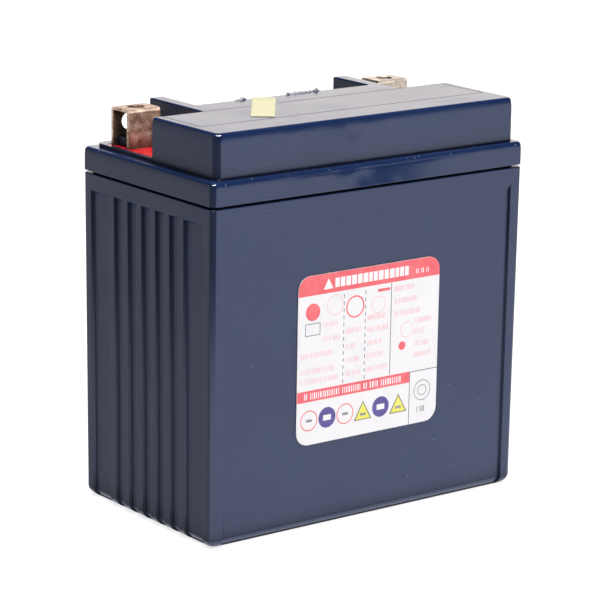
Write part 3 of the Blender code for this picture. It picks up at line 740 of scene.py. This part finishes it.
def print_label():
    paper = (0.84, 0.82, 0.83)
    red = printing_ink("ink_red", (0.83, 0.105, 0.13), (0.86, 0.17, 0.19))
    pink = printing_ink("ink_pink", (0.86, 0.52, 0.56), (0.86, 0.66, 0.69))
    black = printing_ink("ink_black", (0.06, 0.06, 0.08), (0.12, 0.12, 0.14))
    violet = printing_ink("ink_violet", (0.085, 0.055, 0.27), (0.11, 0.08, 0.33))
    yellow = printing_ink("ink_yellow", (0.80, 0.74, 0.07), (0.84, 0.80, 0.20))
    white = printing_ink("ink_white", (0.88, 0.86, 0.87), paper)
    grey = printing_ink("ink_grey", (0.22, 0.22, 0.24), (0.32, 0.32, 0.34))
    print_layer("label_red_bands", draw_red, red)
    print_layer("label_red_signs", draw_red_signs, red)
    print_layer("label_small_print", draw_pink, pink)
    print_layer("label_picture_blocks", draw_picture_blocks, red)
    print_layer("label_rules", draw_black, black)
    print_layer("label_violet_discs", draw_violet, violet)
    print_layer("label_yellow_signs", draw_yellow, yellow, level=2)
    print_layer("label_white_blocks", draw_white, white, level=2)
    print_layer("label_grey_marks", draw_grey, grey, level=3)


# Resin, tape and melted edge


def pour_resin(name, material):
    """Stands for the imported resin, with its rim rounded where it meets the well and the terminal."""
    mesh = bmesh.new()
    mesh.from_mesh(NODES[name].data)
    bmesh.ops.remove_doubles(mesh, verts=mesh.verts, dist=WELD_REACH)
    piece = new_piece(name + "_pour", mesh, material)
    rounded = piece.modifiers.new("meniscus", "BEVEL")
    rounded.width = 0.35 * MM
    rounded.segments = 3
    rounded.limit_method = "ANGLE"
    rounded.angle_limit = radians(50)
    smooth(piece)
    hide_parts(name)


TAPE_WIDE = 9.2 * MM
TAPE_THICK = 0.16 * MM
TAPE_TURN = radians(37)
RIDGE_SHIFT = Vector((0, 0.8 * MM, 0))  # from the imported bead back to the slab's rounded rear edge
RIDGE_SINK = 0.6 * MM
RIDGE_STEP = 0.12 * MM


def join_rows(mesh, rows):
    """Four-sided faces between each row of corners and the next."""
    for here, after in zip(rows, rows[1:]):
        for left in range(len(here) - 1):
            mesh.faces.new((here[left], here[left + 1], after[left + 1], after[left]))


def lay_tape(material):
    """A strip of tape laid by hand: slightly bowed, with a torn front end and a curled rear one."""
    low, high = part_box("tape")
    wide = TAPE_WIDE
    turn = TAPE_TURN
    run = (high.y - low.y - wide * sin(turn)) / cos(turn)
    across_steps, along_steps = 14, 60
    mesh = bmesh.new()
    rows = []
    for along in range(along_steps + 1):
        row = []
        for across in range(across_steps + 1):
            s, t = across / across_steps - 0.5, along / along_steps
            ragged = 0.5 * MM * noise.noise((s * 9, 0, 4.1)) if along == 0 else 0
            lift = 0.10 * MM + 0.10 * MM * noise.noise((s * 2.2, t * 6, 1.7))
            lift += 0.35 * MM * max(0, t - 0.93) / 0.07
            row.append(mesh.verts.new((s * wide, t * run + ragged, lift)))
        rows.append(row)
    join_rows(mesh, rows)
    start = Vector((low.x + wide / 2 * cos(turn), low.y + wide / 2 * sin(turn), low.z))
    piece = new_piece("tape_strip", mesh, material, start, Matrix.Rotation(-turn, 3, "Z"))
    piece.data.shade_smooth()
    sheet = piece.modifiers.new("thickness", "SOLIDIFY")
    sheet.thickness = TAPE_THICK
    sheet.offset = 1
    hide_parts("tape")


def melted_ridge(node, seed, material):
    """Torn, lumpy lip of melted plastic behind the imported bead, on the slab's rounded rear edge."""
    low, high = (corner + RIDGE_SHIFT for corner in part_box(node))
    low.z -= RIDGE_SINK
    size = high - low
    along_steps, across_steps = round(size.x / RIDGE_STEP), 12
    mesh = bmesh.new()
    rows = []
    for along in range(along_steps + 1):
        x = low.x + size.x * along / along_steps
        taper = min(1, min(x - low.x, high.x - x) / MM)
        lump = 0.45 + 0.9 * noise.noise((x * 420, seed, 0))
        row = []
        for across in range(across_steps + 1):
            share = 2 * across / across_steps - 1
            y = (low.y + high.y) / 2 + share * size.y / 2
            ragged = noise.noise((x * 1900, y * 1900, seed))
            tall = min(max(lump + 0.5 * ragged, 0.10), 1) * taper * (1 - share**2) ** 0.5
            row.append(mesh.verts.new((x, y, low.z + size.z * tall)))
        rows.append(row)
    join_rows(mesh, rows)
    join_rows(mesh, [(row[-1], row[0]) for row in rows])
    piece = new_piece(node + "_ridge", mesh, material)
    piece.data.shade_smooth()
    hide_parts(node)


def add_pieces():
    print_label()
    red = poured_resin("red_resin", (0.80, 0.020, 0.032), (0.60, 0.010, 0.018))
    black = poured_resin("black_resin", (0.012, 0.012, 0.016), (0.02, 0.02, 0.026))
    pour_resin("positive_resin", red)
    pour_resin("negative_resin", black)
    lay_tape(masking_tape())
    crust = melted_plastic()
    melted_ridge("melted_burr_1", 11, crust)
    melted_ridge("melted_burr_2", 12, crust)


# Stage, lights and camera

FLOOR_REACH = 9.0
CAMERA_TARGET = Vector((-0.00136, 0, 0.07801))
CAMERA_DISTANCE = 1.1315
CAMERA_AZIMUTH = radians(37.2)
CAMERA_ELEVATION = radians(14.09)
CAMERA_ROLL = radians(0.813)
CAMERA_LENS = 171.9
FLOOR_GLOW = 0.76
ROOM_TONE = (0.9, 0.95, 1.0)
ROOM_GLOW = 0.04
BACKDROP_TONE = (1.0, 0.94, 0.88)
BACKDROP_GLOW = 1.55
BACKDROP_TOP = (0.52, 0.34)  # rise of a direction where the backdrop ends, and where it is full
BACKDROP_SIDES = (0.50, 0.82)  # the same to its sides, as the part of a direction towards its middle
OVERHEAD_POWER = 3.6
OVERHEAD_SPREAD = radians(50)
KEY_PLACE = (0.45, -1.7, 1.5)
KEY_SIZE = 0.35
KEY_POWER = 20
LAMP_AIM = (0, 0, 0.1)
GLINT_PLACES = ((-1.55, -0.95, 1.75), (-0.50, -1.75, 1.75))
GLINT_SIZE = 0.45
GLINT_POWER = 260


def pale_floor():
    """A lit white table top, so that the object casts only a faint shadow."""
    white = (0.36, 0.36, 0.36)
    made = Material("studio_floor", white, 0.7)
    patches = made.ramp(made.noise(3, detail=3), 0.3, 0.7)
    made.shade("Base Color", made.blend(patches, white, (0.35, 0.35, 0.35)))
    made.set("Specular IOR Level", 0.1)
    made.set("Emission Color", (1, 1, 1, 1))
    made.set("Emission Strength", FLOOR_GLOW)
    return made.material


def add_floor():
    mesh = bmesh.new()
    bmesh.ops.create_grid(mesh, x_segments=8, y_segments=8, size=FLOOR_REACH)
    data = bpy.data.meshes.new("studio_floor")
    mesh.to_mesh(data)
    mesh.free()
    data.materials.append(pale_floor())
    floor = bpy.data.objects.new("studio_floor", data)
    bpy.context.scene.collection.objects.link(floor)


def soft_range(tree, source, none, full):
    """0 where the source is at none, 1 where it is at full, with a soft change between."""
    made = tree.nodes.new("ShaderNodeMapRange")
    made.interpolation_type = "SMOOTHSTEP"
    made.inputs["From Min"].default_value = none
    made.inputs["From Max"].default_value = full
    tree.links.new(source, made.inputs["Value"])
    return made.outputs["Result"]


def background(tree, colour, strength):
    made = tree.nodes.new("ShaderNodeBackground")
    made.inputs["Color"].default_value = (*colour, 1)
    made.inputs["Strength"].default_value = strength
    return made.outputs["Background"]


def add_world():
    """A dark studio with a long white backdrop low behind the object."""
    world = bpy.data.worlds.new("studio")
    bpy.context.scene.world = world
    world.use_nodes = True
    tree = world.node_tree
    tree.nodes.clear()
    sight = tree.nodes.new("ShaderNodeTexCoord").outputs["Generated"]
    split = tree.nodes.new("ShaderNodeSeparateXYZ")
    tree.links.new(sight, split.inputs["Vector"])
    behind = tree.nodes.new("ShaderNodeVectorMath")
    behind.operation = "DOT_PRODUCT"
    behind.inputs[1].default_value = (sin(CAMERA_AZIMUTH), cos(CAMERA_AZIMUTH), 0)
    tree.links.new(sight, behind.inputs[0])
    both = tree.nodes.new("ShaderNodeMath")
    both.operation = "MULTIPLY"
    tree.links.new(soft_range(tree, split.outputs["Z"], *BACKDROP_TOP), both.inputs[0])
    tree.links.new(soft_range(tree, behind.outputs["Value"], *BACKDROP_SIDES), both.inputs[1])
    mix = tree.nodes.new("ShaderNodeMixShader")
    tree.links.new(both.outputs["Value"], mix.inputs["Fac"])
    tree.links.new(background(tree, ROOM_TONE, ROOM_GLOW), mix.inputs[1])
    tree.links.new(background(tree, BACKDROP_TONE, BACKDROP_GLOW), mix.inputs[2])
    output = tree.nodes.new("ShaderNodeOutputWorld")
    tree.links.new(mix.outputs["Shader"], output.inputs["Surface"])


def area_light(name, size, watts, place, aim):
    data = bpy.data.lights.new(name, "AREA")
    data.shape = "SQUARE"
    data.size = size
    data.energy = watts
    light = bpy.data.objects.new(name, data)
    light.location = place
    light.rotation_euler = (Vector(aim) - Vector(place)).to_track_quat("-Z", "Y").to_euler()
    bpy.context.scene.collection.objects.link(light)
    return light


def add_lights():
    """A broad overhead glow, a small key lamp in front, and two lamps for sparkles on the round corners."""
    data = bpy.data.lights.new("overhead", "SUN")
    data.energy = OVERHEAD_POWER
    data.angle = OVERHEAD_SPREAD
    overhead = bpy.data.objects.new("overhead", data)
    overhead.visible_glossy = False
    bpy.context.scene.collection.objects.link(overhead)
    area_light("key_lamp", KEY_SIZE, KEY_POWER, KEY_PLACE, LAMP_AIM)
    for place in GLINT_PLACES:
        glint = area_light("glint_lamp", GLINT_SIZE, GLINT_POWER, place, LAMP_AIM)
        glint.visible_diffuse = False


def add_camera():
    level = cos(CAMERA_ELEVATION)
    back = Vector((-sin(CAMERA_AZIMUTH) * level, -cos(CAMERA_AZIMUTH) * level, sin(CAMERA_ELEVATION)))
    data = bpy.data.cameras.new("photo_camera")
    data.lens = CAMERA_LENS
    data.clip_start = 0.05
    data.clip_end = 60
    camera = bpy.data.objects.new("photo_camera", data)
    bpy.context.scene.collection.objects.link(camera)
    aim = (-back).to_track_quat("-Z", "Y").to_matrix()
    roll = Matrix.Rotation(CAMERA_ROLL, 3, "Z")
    camera.matrix_world = Matrix.Translation(CAMERA_TARGET + back * CAMERA_DISTANCE) @ (aim @ roll).to_4x4()
    bpy.context.scene.camera = camera


def main():
    bpy.context.scene.view_settings.view_transform = "Standard"
    dress_nodes()
    add_pieces()
    add_floor()
    add_world()
    add_lights()
    add_camera()
    bpy.context.view_layer.update()


main()
